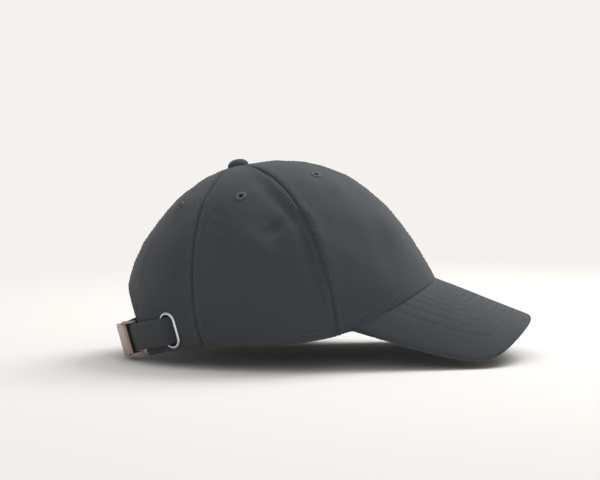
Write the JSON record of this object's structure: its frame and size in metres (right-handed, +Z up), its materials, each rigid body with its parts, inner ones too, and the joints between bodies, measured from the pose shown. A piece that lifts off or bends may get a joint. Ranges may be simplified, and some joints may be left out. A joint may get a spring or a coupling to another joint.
{
  "type": "baseball cap",
  "caption": "Low-profile six-panel cap with a curved stitched visor, and a cloth strap with a metal clamp buckle and grommet at the rear.",
  "frame": {"origin": "on the table under the middle of the cap's bounding box, the cap standing on the visor's edges and the rear corners of the rim", "axes": "+X forward along the visor, +Y to the wearer's left, +Z up"},
  "size_m": [0.2853, 0.1746, 0.1367],
  "materials": {
    "twill": "matt cotton twill",
    "thread": "satin stitch thread",
    "buckram": "stiff woven mesh",
    "tape": "flat woven tape",
    "band_cloth": "matt cotton twill",
    "visor_plastic": "matt moulded sheet",
    "button_steel": "plain pressed steel",
    "grommet_metal": "polished nickel plate",
    "buckle_metal": "antique copper plate, satin"
  },
  "bodies": {
    "cap": {"front_panel_right": "twill", "front_eyelet_right": "thread", "front_panel_left": "twill", "front_eyelet_left": "thread", "side_panel_right": "twill", "side_eyelet_right": "thread", "side_panel_left": "twill", "side_eyelet_left": "thread", "rear_panel_right": "twill", "rear_eyelet_right": "thread", "rear_panel_left": "twill", "rear_eyelet_left": "thread", "front_stiffener_right": "buckram", "front_stiffener_left": "buckram", "seam_tape_front": "tape", "seam_tape_front_right": "tape", "seam_tape_rear_right": "tape", "seam_tape_front_left": "tape", "seam_tape_rear_left": "tape", "seam_tape_rear": "tape", "opening_binding": "tape", "sweatband": "band_cloth", "visor_top_cover": "twill", "visor_board": "visor_plastic", "visor_under_cover": "twill", "button_cover": "twill", "button_shell": "button_steel", "button_back": "button_steel", "grommet_ring": "grommet_metal", "grommet_washer": "grommet_metal", "strap": "twill", "buckle_frame": "buckle_metal", "buckle_pin": "buckle_metal", "buckle_tab": "twill"},
    "buckle_lever": {"buckle_lever": "buckle_metal"}
  },
  "joints": [
    {"name": "lever_hinge", "type": "hinge", "parent": "cap", "child": "buckle_lever", "pos_m": [-0.13281, -0.03115, 0.01435], "axis": [-0.2693, 0.0372, 0.9623], "range_deg": [0, 100]}
  ]
}
